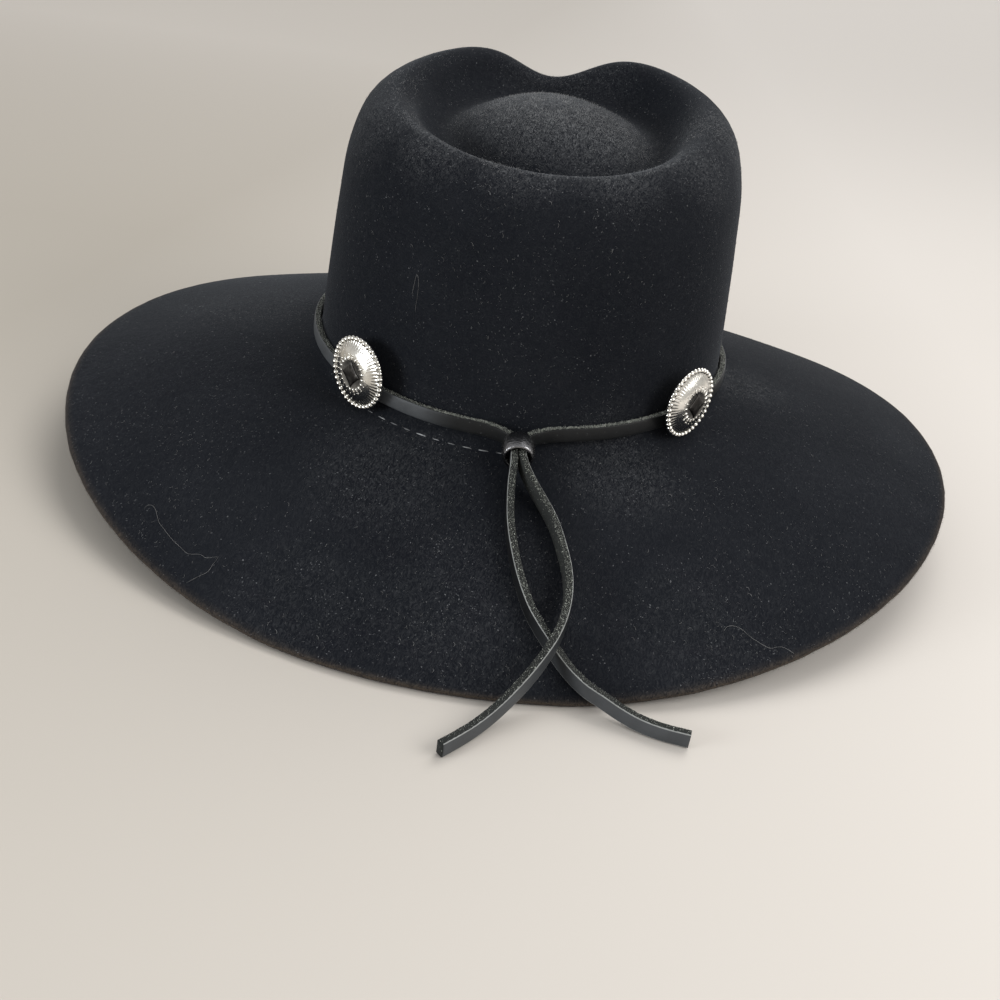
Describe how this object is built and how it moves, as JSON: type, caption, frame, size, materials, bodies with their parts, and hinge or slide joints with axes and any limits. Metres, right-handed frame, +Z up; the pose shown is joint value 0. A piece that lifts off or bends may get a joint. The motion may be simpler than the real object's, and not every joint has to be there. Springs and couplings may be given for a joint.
{
  "type": "felt cowboy hat",
  "caption": "Wide-brimmed felt hat with a pinched telescope crown, a leather lace band tied through a bead with two loose tails, and domed silver conchos.",
  "frame": {"origin": "middle of the hat's box on the surface that it rests on, without the lace's free tails", "axes": "+Z up through the crown, +Y towards the back of the hat, where the bead is, +X towards the wearer's left"},
  "size_m": [0.373, 0.4103, 0.1545],
  "materials": {
    "felt": "matt wool felt with a short nap, dust and raw edge",
    "lace": "smooth grain with rough cut edges",
    "band_leather": "satin",
    "black_nickel": "polished, slightly pitted",
    "silver": "antiqued silver plate"
  },
  "bodies": {
    "root": {"hat_body": "felt", "sweatband": "band_leather", "hat_band": "lace", "bead": "black_nickel", "tail_left": "lace", "tail_right": "lace", "concho_left": "silver", "concho_right": "silver"}
  },
  "joints": []
}
